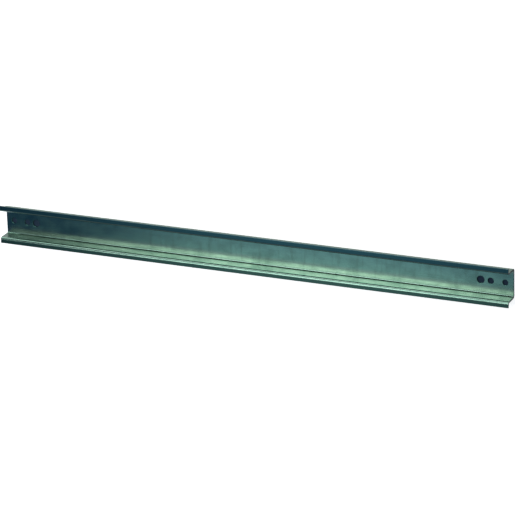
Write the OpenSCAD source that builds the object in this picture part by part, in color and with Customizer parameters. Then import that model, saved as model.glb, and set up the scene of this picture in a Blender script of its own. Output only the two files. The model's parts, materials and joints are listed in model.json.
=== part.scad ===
// Top-hat mounting rail, rolled from one strip of zinc-plated steel.
//
// The rail lies on its back. X runs along it, Y across it, and Z is its depth:
// Z = 0 is the back of the web, and the front faces of the lips are the highest.
// The origin is on the back of the web, halfway between the two cut ends.

/* [Rail] */
// Length between the two cut ends
rail_length = 480; // [200:1:2000]
// Width over the outer edges of the two lips
rail_width = 35; // [32:0.5:45]
// Depth from the back of the web to the front of the lips
rail_depth = 15; // [7.5:0.5:30]
// Width over the outer faces of the two legs
channel_width = 27; // [20:0.5:30]

/* [Strip] */
// Thickness of the steel strip
strip_thickness = 1.5; // [0.8:0.1:2.2]
// Inside radius of the four rolled bends
bend_radius = 1; // [0.4:0.1:2]
// Rounding along the two slit edges of the strip
slit_edge_radius = 0.3; // [0.1:0.05:0.6]

/* [Screw holes] */
// Distance from an end of the rail to its outer hole
outer_hole_inset = 7.5; // [5:0.5:10]
// Diameter of the outer hole
outer_hole_diameter = 5.2; // [3:0.1:7]
// Distance from an end of the rail to its middle hole
middle_hole_inset = 20.5; // [18:0.5:22]
// Diameter of the middle hole
middle_hole_diameter = 5.5; // [3:0.1:8]
// Distance from an end of the rail to its inner hole
inner_hole_inset = 29.5; // [28:0.5:60]
// Diameter of the inner hole
inner_hole_diameter = 6.8; // [3:0.1:9]

/* [Hidden] */

// Facets of a full circle in the preview mesh
ROUND = 96;
// How far a cutter runs past the face that it leaves by
PAST = 1;

outer_bend_radius = bend_radius + strip_thickness;
web_flat = channel_width - 2 * outer_bend_radius;
leg_flat = rail_depth - 2 * outer_bend_radius;
lip_flat = (rail_width - channel_width) / 2 - bend_radius;
// The slit edge is rounded by less than half of the strip's thickness
edge_radius = min(slit_edge_radius, 0.45 * strip_thickness);

// Each end of the rail has these holes, as [distance from the end, diameter]
end_holes = [
    [outer_hole_inset, outer_hole_diameter],
    [middle_hole_inset, middle_hole_diameter],
    [inner_hole_inset, inner_hole_diameter],
];

// A rolled bend of a quarter turn, in the corner of +X and +Y about the origin
module bend_section() {
    intersection() {
        difference() {
            circle(r = outer_bend_radius, $fn = ROUND);
            circle(r = bend_radius, $fn = ROUND);
        }
        square(outer_bend_radius);
    }
}

// A lip from its bend at X = 0 to its slit edge, whose two corners are rounded
module lip_section() {
    square([lip_flat - edge_radius, strip_thickness]);
    translate([0, edge_radius])
        square([lip_flat, strip_thickness - 2 * edge_radius]);
    for (height = [edge_radius, strip_thickness - edge_radius])
        translate([lip_flat - edge_radius, height])
            circle(r = edge_radius, $fn = ROUND);
}

// The leg and lip on one side of the web, with the two bends that join them
module side_section() {
    translate([web_flat / 2, outer_bend_radius])
        rotate(-90) bend_section();
    translate([channel_width / 2 - strip_thickness, outer_bend_radius])
        square([strip_thickness, leg_flat]);
    translate([channel_width / 2 + bend_radius, rail_depth - outer_bend_radius])
        rotate(90) bend_section();
    translate([channel_width / 2 + bend_radius, rail_depth - strip_thickness])
        lip_section();
}

// The whole section: across the rail in X, and its depth in Y
module rail_section() {
    translate([-web_flat / 2, 0])
        square([web_flat, strip_thickness]);
    side_section();
    mirror([1, 0]) side_section();
}

// The screw holes through the web, mirrored from end to end
module screw_holes() {
    for (side = [-1, 1], hole = end_holes)
        translate([side * (rail_length / 2 - hole[0]), 0, -PAST])
            cylinder(d = hole[1], h = strip_thickness + 2 * PAST, $fn = ROUND);
}

// The rail: one rolled section, cut to length and punched
module rail() {
    color([0.40, 0.56, 0.52])
        difference() {
            rotate([90, 0, 90])
                linear_extrude(height = rail_length, center = true)
                    rail_section();
            screw_holes();
        }
}

rail();
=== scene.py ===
"""A length of top-hat mounting rail, rolled from one zinc-plated strip, on its back on a pale floor.

The rail is one piece of stock, so the scene holds one detailed piece. Its surface is the formula of the
real process: a flat strip with half-thickness h, carried along the centre line of the section, with
every sheared or punched edge rolled over by its own small radius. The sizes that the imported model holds
are read from it, and the rest are fields of the class that needs them.
"""

import json
import logging
import math
from dataclasses import dataclass
from enum import Enum
from typing import Any

import bpy
import numpy as np
from mathutils import Matrix, Vector


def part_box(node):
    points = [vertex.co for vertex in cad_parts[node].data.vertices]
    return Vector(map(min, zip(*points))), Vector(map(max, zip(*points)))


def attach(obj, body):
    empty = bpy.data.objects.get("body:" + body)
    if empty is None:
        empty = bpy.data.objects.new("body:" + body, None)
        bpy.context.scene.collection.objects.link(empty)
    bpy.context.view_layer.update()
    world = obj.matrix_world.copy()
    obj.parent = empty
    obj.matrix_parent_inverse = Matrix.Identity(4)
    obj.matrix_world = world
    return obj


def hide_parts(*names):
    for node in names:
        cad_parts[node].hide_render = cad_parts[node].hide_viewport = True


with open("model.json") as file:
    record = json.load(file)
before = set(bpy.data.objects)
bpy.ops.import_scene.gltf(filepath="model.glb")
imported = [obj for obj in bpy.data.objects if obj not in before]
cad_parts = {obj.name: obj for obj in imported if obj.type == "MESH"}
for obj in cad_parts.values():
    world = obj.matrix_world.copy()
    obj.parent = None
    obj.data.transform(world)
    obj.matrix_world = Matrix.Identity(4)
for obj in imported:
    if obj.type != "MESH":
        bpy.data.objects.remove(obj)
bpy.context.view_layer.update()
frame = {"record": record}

LOG = logging.getLogger("mounting_rail")
MM = 0.001  # A millimetre, in metres.
DECIMALS = 9  # Kept by the stations along the rail, so that equal ones become one.
RIGHT_ANGLE = math.pi / 2

Span = tuple[float, float]
Point = tuple[float, float, float]
Colour = tuple[float, float, float, float]
Run = tuple[np.ndarray, np.ndarray]
Socket = bpy.types.NodeSocket
WHITE: Colour = (1.0, 1.0, 1.0, 1.0)


class RailEnd(Enum):
    """A cut end of the rail, as its sign along X."""

    LEFT = -1
    RIGHT = 1


class Face(Enum):
    """A side of the strip: FRONT looks into the channel, and BACK looks away from it."""

    FRONT = 0
    BACK = 1


def quarter_circle(steps: int) -> np.ndarray:
    """Returns the angles of a quarter circle, from 0 to a right angle."""
    return np.linspace(0.0, RIGHT_ANGLE, steps + 1)


def quads(a: np.ndarray, b: np.ndarray, c: np.ndarray, d: np.ndarray) -> np.ndarray:
    """Stacks four index arrays into rows of quads."""
    return np.stack([a.ravel(), b.ravel(), c.ravel(), d.ravel()], axis=1)


@dataclass(frozen=True)
class ScrewHole:
    """A round hole punched through the web.

    Attributes:
        x: Place of its centre along the rail, in metres.
        radius: Radius of its wall, in metres.
    """

    x: float
    radius: float


def holes_from_mounts(mounts: list[dict[str, Any]]) -> tuple[ScrewHole, ...]:
    """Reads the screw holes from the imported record's mounts.

    Args:
        mounts: The record's mounts. Each bolt pattern is a pair of holes on the web's centreline.

    Returns:
        The holes in order along the rail.
    """
    patterns = [mount["dims"] for mount in mounts if mount["kind"] == "bolt_pattern"]
    holes = [
        ScrewHole(end.value * dims["spacing_x_mm"] / 2 * MM, dims["hole_r_mm"] * MM)
        for dims in patterns
        for end in RailEnd
    ]
    return tuple(sorted(holes, key=lambda hole: hole.x))


@dataclass
class StripPath:
    """The strip's centre line in the plane of the section, from one slit edge to the other.

    Attributes:
        points: Places as (y, z), in metres.
        normals: Unit vectors (y, z) that point to the front of the strip.
        half_thickness: Half the strip's thickness there, less where its slit edge is rounded.
        lean: Angle by which the surface leans outwards at the rounding, in radians: 0 on the flats.
        outwards: Unit vectors (y, z) along the strip and away from its middle.
        travel: Distance along the strip from its middle, in metres.
    """

    points: np.ndarray
    normals: np.ndarray
    half_thickness: np.ndarray
    lean: np.ndarray
    outwards: np.ndarray
    travel: np.ndarray


def flat_run(start: Span, heading: Span, distances: np.ndarray, normal: Span) -> Run:
    """Lays out a flat of the centre line: start + distance times heading.

    Args:
        start: Where the flat starts, as (y, z).
        heading: Unit vector along it.
        distances: Distances of its stations from the start.
        normal: Its normal to the front of the strip.

    Returns:
        The stations' places and normals.
    """
    points = np.array(start) + distances[:, None] * np.array(heading)
    return points, np.tile(normal, (len(distances), 1))


def bend_run(centre: Span, radius: float, rays: np.ndarray, side: float) -> Run:
    """Lays out a bend of the centre line: centre + radius times ray.

    Args:
        centre: Centre of the bend, as (y, z).
        radius: Radius of the centre line.
        rays: Unit vectors from the centre to the stations.
        side: 1 where the front of the strip is outside the bend, and -1 where it is inside.

    Returns:
        The stations' places and normals.
    """
    return np.array(centre) + radius * rays, side * rays


def mirrored(values: np.ndarray, sign: float | Span) -> np.ndarray:
    """Joins one half of the strip with its mirror image, the far slit edge first."""
    return np.concatenate([values[:0:-1] * np.array(sign), values])


@dataclass
class DinRail:
    """The rail, with its sizes in metres and the fineness of its mesh.

    The surface is P(x, s, side) = (x, C(s) + side h(s) N(s)). C is the centre line of the strip, N its
    normal and h half of its thickness. At a rounded edge of radius r both the way to the edge and h
    follow a quarter circle: h = t/2 - r (1 - cos a), and the edge lies r (1 - sin a) further out.

    Attributes:
        length: Length of the rail.
        width: Width over the lips.
        depth: Depth from the web's back to the lips' fronts.
        holes: The screw holes, in order along the rail.
        channel_width: Width over the legs.
        strip: Thickness of the strip.
        bend_radius: Inside radius of the four bends.
        slit_edge_radius: Radius of the lips' edges.
        cut_edge_radius: Radius of the sheared ends' edges.
        hole_edge_radius: Radius of the punched holes' edges.
        cell_half: Half the side of the square cell that each hole is set in.
        cell_blends: How round the rings between a cell and its hole's edge are, from the cell inwards.
        cell_steps: Faces along a cell's side.
        bend_steps: Faces round a bend.
        edge_steps: Faces round a rounded edge.
        lip_steps: Faces across a lip's flat.
        leg_steps: Faces up a leg's flat.
        web_steps: Faces across the web between a cell and a bend.
        x_step: Length of the faces between the cells, along the rail.
    """

    length: float
    width: float
    depth: float
    holes: tuple[ScrewHole, ...]
    channel_width: float = 27.0 * MM
    strip: float = 1.5 * MM
    bend_radius: float = 1.0 * MM
    slit_edge_radius: float = 0.3 * MM
    cut_edge_radius: float = 0.12 * MM
    hole_edge_radius: float = 0.16 * MM
    cell_half: float = 4.2 * MM
    cell_blends: Span = (0.3, 0.65)
    cell_steps: int = 16
    bend_steps: int = 14
    edge_steps: int = 4
    lip_steps: int = 4
    leg_steps: int = 10
    web_steps: int = 6
    x_step: float = 6.0 * MM

    def strip_path(self) -> StripPath:
        """Works out the centre line.

        The strip is five flats joined by four quarter bends of the centre-line radius. Each flat is a
        straight row of stations, each bend a circular one, and the last stretch of each lip is the
        quarter circle of the slit edge. One half is laid out from the middle and then mirrored.

        Returns:
            The path, with one station for each row of the mesh.
        """
        outer = self.bend_radius + self.strip
        radius = self.bend_radius + self.strip / 2
        web_half = self.channel_width / 2 - outer
        lip_start = self.channel_width / 2 + self.bend_radius
        lip_height = self.depth - self.strip / 2
        lip = self.width / 2 - self.channel_width / 2 - self.bend_radius - self.slit_edge_radius
        cell = np.linspace(0.0, self.cell_half, self.cell_steps // 2 + 1)
        beside_cell = np.linspace(self.cell_half, web_half, self.web_steps + 1)[1:]
        leg = np.linspace(0.0, self.depth - 2 * outer, self.leg_steps + 1)[1:]
        reach = np.linspace(0.0, lip, self.lip_steps + 1)[1:]
        angles = quarter_circle(self.bend_steps)[1:]
        roll = quarter_circle(self.edge_steps)[1:]
        low_rays = np.stack([np.sin(angles), -np.cos(angles)], axis=1)
        high_rays = np.stack([-np.cos(angles), np.sin(angles)], axis=1)

        across, up, inwards = (1.0, 0.0), (0.0, 1.0), (-1.0, 0.0)
        runs = [
            flat_run((0.0, self.strip / 2), across, np.concatenate([cell, beside_cell]), up),
            bend_run((web_half, outer), radius, low_rays, -1.0),
            flat_run((web_half + radius, outer), up, leg, inwards),
            bend_run((lip_start, self.depth - outer), radius, high_rays, 1.0),
            flat_run((lip_start, lip_height), across, reach, up),
            flat_run((lip_start + lip, lip_height), across, self.slit_edge_radius * np.sin(roll), up),
        ]
        points = np.concatenate([places for places, _ in runs])
        normals = np.concatenate([directions for _, directions in runs])
        outwards = np.stack([normals[:, 1], -normals[:, 0]], axis=1)
        lean = np.concatenate([np.zeros(len(points) - len(roll)), roll])
        half_thickness = self.strip / 2 - self.slit_edge_radius * (1 - np.cos(lean))
        steps = np.linalg.norm(np.diff(points, axis=0), axis=1)
        return StripPath(
            points=mirrored(points, (-1.0, 1.0)),
            normals=mirrored(normals, (-1.0, 1.0)),
            half_thickness=mirrored(half_thickness, 1.0),
            lean=mirrored(lean, 1.0),
            outwards=mirrored(outwards, (-1.0, 1.0)),
            travel=mirrored(np.concatenate([[0.0], np.cumsum(steps)]), -1.0),
        )

    def stations(self) -> tuple[np.ndarray, np.ndarray]:
        """Works out the mesh's stations along the rail.

        Returns:
            Their places along X, and the angle by which the surface leans towards a cut end there.
        """
        roll = quarter_circle(self.edge_steps)
        end = self.length / 2 - self.cut_edge_radius
        rounding = end + self.cut_edge_radius * np.sin(roll)
        cell = self.cell_half * np.linspace(-1.0, 1.0, self.cell_steps + 1)
        rows = [hole.x + cell for hole in self.holes]
        gaps = [-end, *[edge for row in rows for edge in (row[0], row[-1])], end]
        for low, high in zip(gaps[::2], gaps[1::2]):
            count = max(2, round((high - low) / self.x_step) + 1)
            rows.append(np.linspace(low, high, count))
        inner = np.unique(np.round(np.concatenate(rows), DECIMALS))
        x = np.concatenate([-rounding[:0:-1], inner, rounding[1:]])
        lean = np.concatenate([-roll[:0:-1], np.zeros(len(inner)), roll[1:]])
        return x, lean

    def grid(self, path: StripPath, x: np.ndarray, lean: np.ndarray) -> tuple[np.ndarray, np.ndarray]:
        """Carries the section along the rail.

        A point of the section is C + side h N. At a cut end it is drawn in along its own surface normal
        by c (1 - cos a) while x runs on by c sin a, so the cut edge is a quarter circle of radius c.

        Args:
            path: The centre line of the strip.
            x: Stations along the rail.
            lean: Lean of the surface towards a cut end at each station.

        Returns:
            Points and unit normals, both of shape (stations, rows, 2 sides, 3), with the sides in the
            order of Face.
        """
        sides = np.array([1.0, -1.0])
        flat = path.normals[:, None, :] * sides[None, :, None]
        section_n = (
            np.cos(path.lean)[:, None, None] * flat
            + np.sin(path.lean)[:, None, None] * path.outwards[:, None, :]
        )
        section = path.points[:, None, :] + flat * path.half_thickness[:, None, None]
        drawn_in = self.cut_edge_radius * (1 - np.cos(lean))
        points = np.empty((len(x), *section.shape[:2], 3))
        points[..., 0] = x[:, None, None]
        points[..., 1:] = section[None] - drawn_in[:, None, None, None] * section_n[None]
        normals = np.empty_like(points)
        normals[..., 0] = np.sin(lean)[:, None, None]
        normals[..., 1:] = np.cos(lean)[:, None, None, None] * section_n[None]
        return points, normals

    def hole_rings(self, hole: ScrewHole) -> tuple[np.ndarray, np.ndarray]:
        """Works out the rings of one punched hole, between its two square cells.

        The profile (r, z) runs in over the front, round the edge, down the wall, round the other edge
        and out over the back. On the flats a ring blends from the square of the cell to the circle.

        Args:
            hole: The hole.

        Returns:
            Points and unit normals, both of shape (rings, points round the cell, 3), from the first
            ring inside the front cell to the last one inside the back cell.
        """
        count = 4 * self.cell_steps
        low_corner = -1.5 * RIGHT_ANGLE
        angle = low_corner + 2 * math.pi * np.arange(count) / count
        circle = np.stack([np.cos(angle), np.sin(angle)], axis=1)
        side = np.linspace(-1.0, 1.0, self.cell_steps + 1)[:-1]
        one = np.ones_like(side)
        borders = [(side, -one), (one, side), (-side, one), (-one, -side)]
        square = self.cell_half * np.concatenate([np.stack(border, axis=1) for border in borders])
        edge = self.hole_edge_radius
        roll = quarter_circle(self.edge_steps)
        blends = np.array(self.cell_blends)
        mouth = hole.radius + edge

        flat = (1 - blends)[:, None, None] * square + blends[:, None, None] * mouth * circle
        rolled = (mouth - edge * np.sin(roll))[:, None, None] * circle
        front = np.concatenate([flat, rolled])
        rings = np.concatenate([front, front[::-1]])
        edge_heights = self.strip - edge * (1 - np.cos(roll))
        heights = np.concatenate([np.full(len(blends), self.strip), edge_heights])
        heights = np.concatenate([heights, (self.strip - heights)[::-1]])
        points = np.empty((len(rings), count, 3))
        points[..., 0] = hole.x + rings[..., 0]
        points[..., 1] = rings[..., 1]
        points[..., 2] = heights[:, None]

        lean = np.concatenate([np.zeros(len(blends)), roll])
        lean = np.concatenate([lean, math.pi - lean[::-1]])
        normals = np.empty_like(points)
        normals[..., :2] = -np.sin(lean)[:, None, None] * circle
        normals[..., 2] = np.cos(lean)[:, None]
        return points, normals

    def surface(self) -> tuple[np.ndarray, np.ndarray, np.ndarray]:
        """Joins the strip, its edges, its cut ends and its holes into one closed surface.

        Returns:
            Points (n, 3), unit normals (n, 3) and quads (m, 4), which all point outwards.
        """
        path = self.strip_path()
        x, lean = self.stations()
        points, normals = self.grid(path, x, lean)
        index = np.arange(points[..., 0].size).reshape(points.shape[:3])
        front, back = index[..., Face.FRONT.value], index[..., Face.BACK.value]
        low = int(np.argmin(np.abs(path.travel + self.cell_half)))
        high = int(np.argmin(np.abs(path.travel - self.cell_half)))
        starts = [int(np.argmin(np.abs(x - (hole.x - self.cell_half)))) for hole in self.holes]
        keep = np.ones((len(x) - 1, len(path.travel) - 1), dtype=bool)
        for start in starts:
            keep[start : start + self.cell_steps, low:high] = False

        # The front and the back without the cells, then the two slit edges, then the two cut ends.
        faces = [
            quads(front[:-1, :-1], front[1:, :-1], front[1:, 1:], front[:-1, 1:])[keep.ravel()],
            quads(back[:-1, :-1], back[:-1, 1:], back[1:, 1:], back[1:, :-1])[keep.ravel()],
            quads(back[:-1, 0], back[1:, 0], front[1:, 0], front[:-1, 0]),
            quads(back[:-1, -1], front[:-1, -1], front[1:, -1], back[1:, -1]),
            quads(back[-1, :-1], back[-1, 1:], front[-1, 1:], front[-1, :-1]),
            quads(back[0, :-1], front[0, :-1], front[0, 1:], back[0, 1:]),
        ]
        all_points = [points.reshape(-1, 3)]
        all_normals = [normals.reshape(-1, 3)]
        used = index.size
        for hole, start in zip(self.holes, starts):
            ring_points, ring_normals = self.hole_rings(hole)
            inner = used + np.arange(ring_points[..., 0].size).reshape(ring_points.shape[:2])
            borders = [self.cell_border(side, start, low, high)[None] for side in (front, back)]
            rings = np.concatenate([borders[0], inner, borders[1]])
            ahead = np.roll(rings, -1, axis=1)
            faces.append(quads(rings[:-1], ahead[:-1], ahead[1:], rings[1:]))
            all_points.append(ring_points.reshape(-1, 3))
            all_normals.append(ring_normals.reshape(-1, 3))
            used += inner.size
        LOG.info("surface: %d points, %d holes", used, len(self.holes))
        return np.concatenate(all_points), np.concatenate(all_normals), np.concatenate(faces)

    def cell_border(self, side: np.ndarray, start: int, low: int, high: int) -> np.ndarray:
        """Walks once round a cell's border, anticlockwise from its low corner.

        Args:
            side: Indices of one side's points, by station and row.
            start: First station of the cell.
            low: First row of the cell.
            high: Last row of the cell.

        Returns:
            The indices of the border's points.
        """
        stop = start + self.cell_steps
        return np.concatenate(
            [
                side[start:stop, low],
                side[stop, low:high],
                side[stop:start:-1, high],
                side[start, high:low:-1],
            ]
        )

    def build(self, name: str) -> bpy.types.Object:
        """Makes the rail's mesh and object.

        Args:
            name: Name of the piece.

        Returns:
            The object, at the origin, with exact normals.
        """
        points, normals, faces = self.surface()
        mesh = bpy.data.meshes.new(name)
        mesh.from_pydata(points, [], faces.tolist())
        mesh.polygons.foreach_set("use_smooth", np.ones(len(faces), dtype=bool))
        mesh.normals_split_custom_set_from_vertices(normals.tolist())
        mesh.update()
        piece = bpy.data.objects.new(name, mesh)
        bpy.context.scene.collection.objects.link(piece)
        return piece


class Nodes:
    """A short way to build the node tree of a material or a world."""

    def __init__(self, owner: bpy.types.Material | bpy.types.World) -> None:
        """Empties the owner's node tree."""
        self.owner = owner
        self.owner.use_nodes = True
        self.tree = self.owner.node_tree
        self.tree.nodes.clear()

    def add(self, kind: str, **inputs: Any) -> bpy.types.Node:
        """Adds a node.

        Args:
            kind: Blender's name of the node type.
            **inputs: Values or sockets by input name, with _ for a space. A name that starts with
                a lower-case letter sets a property of the node instead.

        Returns:
            The node.
        """
        node = self.tree.nodes.new(kind)
        for key, value in inputs.items():
            if key[0].islower():
                setattr(node, key, value)
        for key, value in inputs.items():
            if not key[0].islower():
                self.feed(node.inputs[key.replace("_", " ")], value)
        return node

    def feed(self, socket: Socket, value: Any) -> None:
        """Links a socket into another, or sets its value."""
        if isinstance(value, Socket):
            self.tree.links.new(value, socket)
        else:
            socket.default_value = value

    def axes(self, output: str = "Object") -> tuple[Socket, Any]:
        """Adds texture coordinates and returns them, whole and by axis name."""
        where = self.add("ShaderNodeTexCoord").outputs[output]
        return where, self.add("ShaderNodeSeparateXYZ", Vector=where).outputs

    def math(self, operation: str, first: Socket | float, second: Socket | float = 0.0) -> Socket:
        """Adds a Math node and returns its value."""
        node = self.add("ShaderNodeMath", operation=operation)
        self.feed(node.inputs[0], first)
        self.feed(node.inputs[1], second)
        return node.outputs[0]

    def ramp(self, value: Socket, span: Span, result: Span = (0.0, 1.0)) -> Socket:
        """Maps a span of a value smoothly to the span of the result, and returns the socket."""
        node = self.add("ShaderNodeMapRange", interpolation_type="SMOOTHSTEP", Value=value)
        for key, limit in zip(("From Min", "From Max", "To Min", "To Max"), (*span, *result)):
            node.inputs[key].default_value = limit
        return node.outputs["Result"]

    def edge(self, value: Socket, limit: float, depths: Span, most: float = 1.0) -> Socket:
        """Maps a value smoothly to 0..most, between two depths short of a limit."""
        return self.ramp(value, (limit - depths[0], limit - depths[1]), (0.0, most))

    def blend(self, factor: Socket, first: Socket | float, second: Socket | float) -> Socket:
        """Adds a mix of two numbers and returns it."""
        return self.add("ShaderNodeMix", Factor=factor, A=first, B=second).outputs[0]

    def mix(self, factor: Socket, first: Socket | Colour, second: Socket | Colour) -> Socket:
        """Adds a mix of two colours and returns it."""
        node = self.add("ShaderNodeMix", data_type="RGBA")
        self.feed(node.inputs["Factor"], factor)
        self.feed(node.inputs[6], first)
        self.feed(node.inputs[7], second)
        return node.outputs[2]


@dataclass(frozen=True)
class Marks:
    """Marks of dirt in the plating, where a noise pattern is high.

    Attributes:
        scale: Repeats of the pattern in a metre, along each axis.
        detail: Number of its finer layers.
        fade: Values of the pattern at which the marks start and at which they are full.
        most: Share of grime where they are full.
    """

    scale: Point
    detail: float
    fade: Span
    # most: Share of the dirt colour where they are full.
    most: float

    def pattern(self, n: Nodes, where: Socket) -> Socket:
        """Adds the noise pattern and returns its value."""
        mapping = n.add("ShaderNodeMapping", Vector=where, Scale=self.scale)
        noise = n.add("ShaderNodeTexNoise", Vector=mapping.outputs[0], Scale=1.0, Detail=self.detail)
        return noise.outputs["Fac"]

    def share(self, n: Nodes, pattern: Socket) -> Socket:
        """Turns the pattern into a share of the dirt colour."""
        return n.ramp(pattern, self.fade, (0.0, self.most))


@dataclass(frozen=True)
class ZincFinish:
    """Blue-passivated zinc plate on rolled steel.

    Attributes:
        plate: Colour of the plating on the legs and the outside.
        web_painted_shade: Painted shade on the web, darker than the plate, on the -Y side.
        web_deeper_painted_shade: The web's deeper painted shade, on the +Y side.
        lip_painted_shade: Painted shade on the -Y lip's front face.
        blue_painted_shade: Blue painted shade on the +Y lip's front face and on the +Y bend below it.
        grime_and_painted_shade: Colour of the dirt marks, and of the painted shade in the creases and on
            the -Y bend.
        slit: Colour of the lips' slit edges.
        bare: Colour of the sheared ends, where the steel is bare.
        lines: Fine lines that the rolls leave along the strip.
        dashes: Scuffs along the strip, on all but the middle of the web.
        clouds: Faint clouds in the plating, which also change its roughness.
        smudges: Faint marks across the strip.
        web_middle: Y of the middle of the web's painted shade.
        web_fade: Distances from there at which the painted shade starts to give way to the plate, a
            painted reflection of the lit legs, and is gone.
        web_shade_deepening: Y at which the web's painted shade starts to deepen towards +Y, and has
            deepened.
        side_fade: Y at which the painted shade of the -Y lip and bend starts to change to the blue one of
            the +Y side, and has changed.
        crease_fade: Distances from the foot of a bend at which the crease's painted shade and roughness
            are full and are gone.
        crease_painted_shade: Share of the dark colour in the crease, as painted shade.
        bend_shade_depths: Depths below the lips' fronts at which the painted shade on the bends starts
            and is full.
        bend_painted_shade: Share of that painted shade, which dims the highlight on the bends.
        front_depths: Depths below the lips' fronts at which their painted shade and roughness start and
            are full.
        slit_depths: The same inside the slit edges.
        cut_depths: The same inside the cut ends.
        cloud_fade: Values of the clouds at which the plating is smoothest and roughest.
        roughness: Roughness of the plating, smoothest and roughest.
        burnished_roughness: Roughness of the lips' front faces.
        crease_roughness: Roughness where the web meets the legs.
        line_height: Height of the rolling lines, in metres.
        line_strength: How strongly they turn the light.
    """

    plate: Colour = (0.30, 0.405, 0.33, 1.0)
    web_painted_shade: Colour = (0.18, 0.385, 0.31, 1.0)
    web_deeper_painted_shade: Colour = (0.14, 0.313, 0.285, 1.0)
    lip_painted_shade: Colour = (0.065, 0.155, 0.125, 1.0)
    blue_painted_shade: Colour = (0.034, 0.115, 0.137, 1.0)
    grime_and_painted_shade: Colour = (0.095, 0.19, 0.15, 1.0)
    slit: Colour = (0.058, 0.105, 0.10, 1.0)
    bare: Colour = (0.025, 0.042, 0.045, 1.0)
    lines: Marks = Marks(scale=(9.0, 1500.0, 1500.0), detail=3.0, fade=(0.50, 0.75), most=0.25)
    dashes: Marks = Marks(scale=(35.0, 420.0, 420.0), detail=2.0, fade=(0.42, 0.65), most=0.28)
    clouds: Marks = Marks(scale=(90.0, 130.0, 130.0), detail=4.0, fade=(0.40, 0.75), most=0.18)
    smudges: Marks = Marks(scale=(230.0, 45.0, 45.0), detail=2.0, fade=(0.50, 0.66), most=0.23)
    web_middle: float = 2.0 * MM
    web_fade: Span = (5.0 * MM, 11.0 * MM)
    web_shade_deepening: Span = (-8.0 * MM, 8.0 * MM)
    side_fade: Span = (-1.0 * MM, 1.0 * MM)
    crease_fade: Span = (0.4 * MM, 1.5 * MM)
    crease_painted_shade: float = 0.55
    bend_shade_depths: Span = (2.4 * MM, 0.8 * MM)
    bend_painted_shade: float = 0.70
    front_depths: Span = (0.08 * MM, 0.01 * MM)
    slit_depths: Span = (0.30 * MM, 0.12 * MM)
    cut_depths: Span = (0.10 * MM, 0.02 * MM)
    cloud_fade: Span = (0.3, 0.7)
    roughness: Span = (0.18, 0.25)
    burnished_roughness: float = 0.30
    crease_roughness: float = 0.26
    line_height: float = 0.02 * MM
    line_strength: float = 0.10

    def crease(self, n: Nodes, axes: Any, rail: DinRail) -> Socket:
        """Marks where the web meets the legs, for the painted shade and the roughness there, by the
        distance from the web's side of the bend.

        Args:
            n: The material's nodes.
            axes: The place's X, Y and Z outputs.
            rail: The rail, whose section places the bends.

        Returns:
            A factor that is 1 where the web starts to bend and 0 on the flats.
        """
        foot_y = rail.channel_width / 2 - rail.strip - rail.bend_radius / 2
        dy = n.math("SUBTRACT", n.math("ABSOLUTE", axes["Y"]), foot_y)
        dz = n.math("SUBTRACT", axes["Z"], rail.strip)
        squares = n.math("ADD", n.math("MULTIPLY", dy, dy), n.math("MULTIPLY", dz, dz))
        return n.ramp(n.math("SQRT", squares), self.crease_fade, (1.0, 0.0))

    def material(self, rail: DinRail) -> bpy.types.Material:
        """Builds the finish for a rail.

        Each layer is mixed over the ones before it: the web's painted shade, four kinds of dirt marks,
        the painted shade in the creases and on the bends, the lips' painted shade, and then the slit
        edges and the cut ends.

        Args:
            rail: The rail, whose sizes place the painted shade on the lips and bends, and the bare ends.

        Returns:
            The material.
        """
        n = Nodes(bpy.data.materials.new("zinc_steel"))
        where, axes = n.axes()
        lines = self.lines.pattern(n, where)
        clouds = self.clouds.pattern(n, where)
        off_middle = n.math("ABSOLUTE", n.math("SUBTRACT", axes["Y"], self.web_middle))
        middle = n.ramp(off_middle, self.web_fade, (1.0, 0.0))
        scuffs = self.dashes.share(n, self.dashes.pattern(n, where))
        crease = self.crease(n, axes, rail)
        side = n.ramp(axes["Y"], self.side_fade)
        lip_front = n.edge(axes["Z"], rail.depth, self.front_depths)
        across = n.math("ABSOLUTE", axes["Y"])
        along = n.math("ABSOLUTE", axes["X"])
        # Painted shade on the web, deeper towards +Y.
        web = n.mix(n.ramp(axes["Y"], self.web_shade_deepening), self.web_painted_shade, self.web_deeper_painted_shade)
        layers = [
            # Painted shade in the middle of the web, giving way to the plate towards the legs as a
            # painted reflection of the lit legs.
            (middle, web),
            (self.clouds.share(n, clouds), self.grime_and_painted_shade),
            (self.smudges.share(n, self.smudges.pattern(n, where)), self.grime_and_painted_shade),
            (n.math("MULTIPLY", scuffs, n.math("SUBTRACT", 1.0, middle)), self.grime_and_painted_shade),
            (self.lines.share(n, lines), self.grime_and_painted_shade),
            # Painted shade in the creases where the web meets the legs.
            (n.math("MULTIPLY", crease, self.crease_painted_shade), self.grime_and_painted_shade),
            # Painted shade on the bends below the lips' fronts, which dims their highlight; blue on the
            # +Y side.
            (
                n.edge(axes["Z"], rail.depth, self.bend_shade_depths, self.bend_painted_shade),
                n.mix(side, self.grime_and_painted_shade, self.blue_painted_shade),
            ),
            # Painted shade on the lips' front faces, blue on the +Y lip.
            (lip_front, n.mix(side, self.lip_painted_shade, self.blue_painted_shade)),
            (n.edge(across, rail.width / 2, self.slit_depths), self.slit),
            (n.edge(along, rail.length / 2, self.cut_depths), self.bare),
        ]
        colour: Socket | Colour = self.plate
        for share, layer in layers:
            colour = n.mix(share, colour, layer)
        rough = n.ramp(clouds, self.cloud_fade, self.roughness)
        rough = n.blend(lip_front, rough, self.burnished_roughness)
        rough = n.blend(crease, rough, self.crease_roughness)
        bump = n.add(
            "ShaderNodeBump", Strength=self.line_strength, Distance=self.line_height, Height=lines
        )
        shader = n.add(
            "ShaderNodeBsdfPrincipled",
            Base_Color=colour,
            Metallic=1.0,
            Roughness=rough,
            Normal=bump.outputs[0],
        )
        n.add("ShaderNodeOutputMaterial", Surface=shader.outputs[0])
        return n.owner


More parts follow.
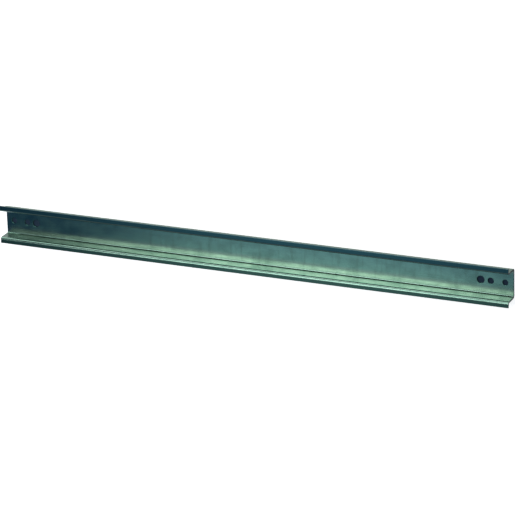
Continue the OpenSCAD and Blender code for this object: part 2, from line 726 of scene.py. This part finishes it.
@dataclass(frozen=True)
class Floor:
    """A plain pale floor that the rail lies on.

    Attributes:
        half: Half of its side, in metres.
        pale: Its colour in the open.
        shaded: Its colour under the web, where the holes show it and little light gets in.
        glow: Strength that it adds to the light it scatters, to make it white in the picture.
        side_margin: How far beside the rail mirror-like surfaces see it without the glow, as painted
            shade, in metres.
        end_margin: The same beyond the rail's ends.
    """

    half: float = 4.0
    pale: Colour = (0.86, 0.86, 0.86, 1.0)
    shaded: Colour = (0.03, 0.05, 0.08, 1.0)
    glow: float = 0.70
    side_margin: float = 3.0 * MM
    end_margin: float = 16.0 * MM

    def material(self, rail: DinRail) -> bpy.types.Material:
        """Builds the floor's material.

        Args:
            rail: The rail. The floor doesn't glow where the web covers it.

        Returns:
            The material. It glows for rays from the camera and from mirror-like surfaces, so it is
            white there and still takes the rail's shadow.
        """
        n = Nodes(bpy.data.materials.new("pale_floor"))
        path = n.add("ShaderNodeLightPath").outputs
        _, axes = n.axes()
        past_end = n.math("SUBTRACT", n.math("ABSOLUTE", axes["X"]), rail.length / 2)
        across = n.math("ABSOLUTE", axes["Y"])
        web = rail.channel_width / 2 - rail.strip
        off_web = n.math("MAXIMUM", past_end, n.math("SUBTRACT", across, web))
        # Painted shade: under the web the floor takes its dark shaded colour and no glow, and beside the
        # rail and past its ends mirror-like surfaces see it without the glow.
        in_the_open = n.math("GREATER_THAN", off_web, 0.0)
        beside = n.math("GREATER_THAN", across, rail.width / 2 + self.side_margin)
        beyond = n.math("GREATER_THAN", past_end, self.end_margin)
        seen = n.math("MULTIPLY", path["Is Camera Ray"], in_the_open)
        mirror_ray = n.math("MAXIMUM", path["Is Glossy Ray"], path["Is Transmission Ray"])
        reflected = n.math("MULTIPLY", mirror_ray, n.math("MAXIMUM", beside, beyond))
        strength = n.math("MULTIPLY", n.math("MAXIMUM", seen, reflected), self.glow)
        matte = n.add("ShaderNodeBsdfDiffuse", Color=n.mix(in_the_open, self.shaded, self.pale))
        glow = n.add("ShaderNodeEmission", Strength=strength)
        both = n.add("ShaderNodeAddShader")
        n.feed(both.inputs[0], matte.outputs[0])
        n.feed(both.inputs[1], glow.outputs[0])
        n.add("ShaderNodeOutputMaterial", Surface=both.outputs[0])
        return n.owner

    def build(self, rail: DinRail) -> bpy.types.Object:
        """Makes the floor.

        Args:
            rail: The rail that lies on it.

        Returns:
            A square plane at the height of the rail's back.
        """
        h = self.half
        mesh = bpy.data.meshes.new("floor")
        mesh.from_pydata([(-h, -h, 0), (h, -h, 0), (h, h, 0), (-h, h, 0)], [], [(0, 1, 2, 3)])
        mesh.update()
        floor = bpy.data.objects.new("floor", mesh)
        bpy.context.scene.collection.objects.link(floor)
        mesh.materials.append(self.material(rail))
        return floor


@dataclass(frozen=True)
class SoftBox:
    """A rectangular studio lamp.

    Attributes:
        name: What the lamp is called.
        place: Where it stands, in metres.
        aim: The point that it faces.
        size: Its width and height.
        power: Its power in watts.
    """

    name: str
    place: Point
    aim: Point
    size: Span
    power: float

    def build(self) -> bpy.types.Object:
        """Makes the lamp.

        Returns:
            The lamp.
        """
        data = bpy.data.lights.new(self.name, "AREA")
        data.shape = "RECTANGLE"
        data.size, data.size_y = self.size
        data.energy = self.power
        lamp = bpy.data.objects.new(self.name, data)
        lamp.location = self.place
        lamp.rotation_mode = "QUATERNION"
        lamp.rotation_quaternion = (Vector(self.aim) - Vector(self.place)).to_track_quat("-Z", "Y")
        bpy.context.scene.collection.objects.link(lamp)
        return lamp


@dataclass(frozen=True)
class Studio:
    """The lamps and the room round them.

    Attributes:
        lamps: The lamps.
        walls: Light from the walls, and from the ceiling on the right.
        corner: Light from the dim blue corner of the ceiling on the left.
        wall_top: How far up the walls start to give way to the ceiling and are gone: 0 is level.
        right_side: How far to the right the corner starts to give way and is gone: 0 is the middle.
    """

    lamps: tuple[SoftBox, ...]
    walls: Colour = (0.37, 0.39, 0.41, 1.0)
    corner: Colour = (0.012, 0.045, 0.105, 1.0)
    wall_top: Span = (0.48, 0.70)
    right_side: Span = (-0.05, 0.30)

    def build(self) -> None:
        """Makes the lamps and the world, which looks white to the camera."""
        for lamp in self.lamps:
            LOG.info("lamp %s", lamp.build().name)
        n = Nodes(bpy.data.worlds.new("room"))
        _, axes = n.axes("Generated")
        low = n.ramp(axes["Z"], self.wall_top, (1.0, 0.0))
        pale = n.math("MAXIMUM", low, n.ramp(axes["X"], self.right_side))
        light = n.mix(pale, self.corner, self.walls)
        seen = n.add("ShaderNodeLightPath").outputs["Is Camera Ray"]
        background = n.add("ShaderNodeBackground", Color=n.mix(seen, light, WHITE))
        n.add("ShaderNodeOutputWorld", Surface=background.outputs[0])
        bpy.context.scene.world = n.owner
        bpy.context.scene.view_settings.view_transform = "Standard"


@dataclass(frozen=True)
class RailCamera:
    """A camera that looks down into the channel from beyond its right end.

    Attributes:
        turn: Angle from the straight view into the channel, towards the right end, in degrees.
        tilt: Angle towards the +Y lip, in degrees.
        roll: Turn about the line of sight, in degrees.
        distance: From the rail's middle, in metres.
        aim: Point looked at, as metres to the right of and above the rail's middle.
        lens: Focal length, in millimetres.
        sensor: Width of the sensor, in millimetres.
        reach: How far the camera sees, in metres.
    """

    turn: float = 24.170
    tilt: float = 20.326
    roll: float = -1.621
    distance: float = 2.9435
    aim: Span = (0.0037989, -0.0064545)
    lens: float = 236.94
    sensor: float = 36.0
    reach: float = 20.0

    def build(self) -> bpy.types.Object:
        """Makes the camera and gives it to the scene.

        Returns:
            The camera.
        """
        turn, tilt, roll = (math.radians(angle) for angle in (self.turn, self.tilt, self.roll))
        towards = Vector(
            (math.sin(turn) * math.cos(tilt), math.sin(tilt), math.cos(turn) * math.cos(tilt))
        )
        level = Vector((math.cos(turn), 0.0, -math.sin(turn)))
        upright = towards.cross(level)
        right = math.cos(roll) * level + math.sin(roll) * upright
        up = math.cos(roll) * upright - math.sin(roll) * level
        data = bpy.data.cameras.new("camera")
        data.lens = self.lens
        data.sensor_width = self.sensor
        data.clip_end = self.reach
        camera = bpy.data.objects.new("camera", data)
        place = towards * self.distance + right * self.aim[0] + up * self.aim[1]
        turned = Matrix((right, up, towards)).transposed().to_4x4()
        camera.matrix_world = Matrix.Translation(place) @ turned
        bpy.context.scene.collection.objects.link(camera)
        bpy.context.scene.camera = camera
        return camera


STUDIO = Studio(
    lamps=(
        SoftBox(
            name="overhead",
            place=(-0.405, 0.52, 1.1),
            aim=(-0.405, 0.52, 0.0),
            size=(0.56, 1.00),
            power=7.4,
        ),
        SoftBox(
            name="fill",
            place=(-0.385, -0.48, 1.1),
            aim=(-0.385, -0.48, 0.0),
            size=(0.48, 0.45),
            power=0.465,
        ),
        SoftBox(
            name="side",
            place=(-0.133, 1.15, 0.30),
            aim=(-0.133, 0.0, 0.30),
            size=(1.62, 0.60),
            power=7.6,
        ),
    )
)


def main() -> None:
    """Builds the rail, the floor, the lamps and the camera."""
    logging.basicConfig(level=logging.INFO, format="%(name)s: %(message)s")
    low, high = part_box("rail")
    size = Vector(high) - Vector(low)
    rail = DinRail(
        length=size.x,
        width=size.y,
        depth=size.z,
        holes=holes_from_mounts(frame["record"]["mounts"]),
    )
    camera = RailCamera().build()
    LOG.info("%s: %.2f m away", camera.name, camera.matrix_world.translation.length)
    piece = rail.build("rail_zinc_plated")
    piece.data.materials.append(ZincFinish().material(rail))
    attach(piece, "root")
    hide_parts("rail")
    LOG.info("%s: %d faces", piece.name, len(piece.data.polygons))
    floor = Floor().build(rail)
    LOG.info("%s: %.1f m wide", floor.name, floor.dimensions.x)
    STUDIO.build()


if __name__ == "__main__":
    main()
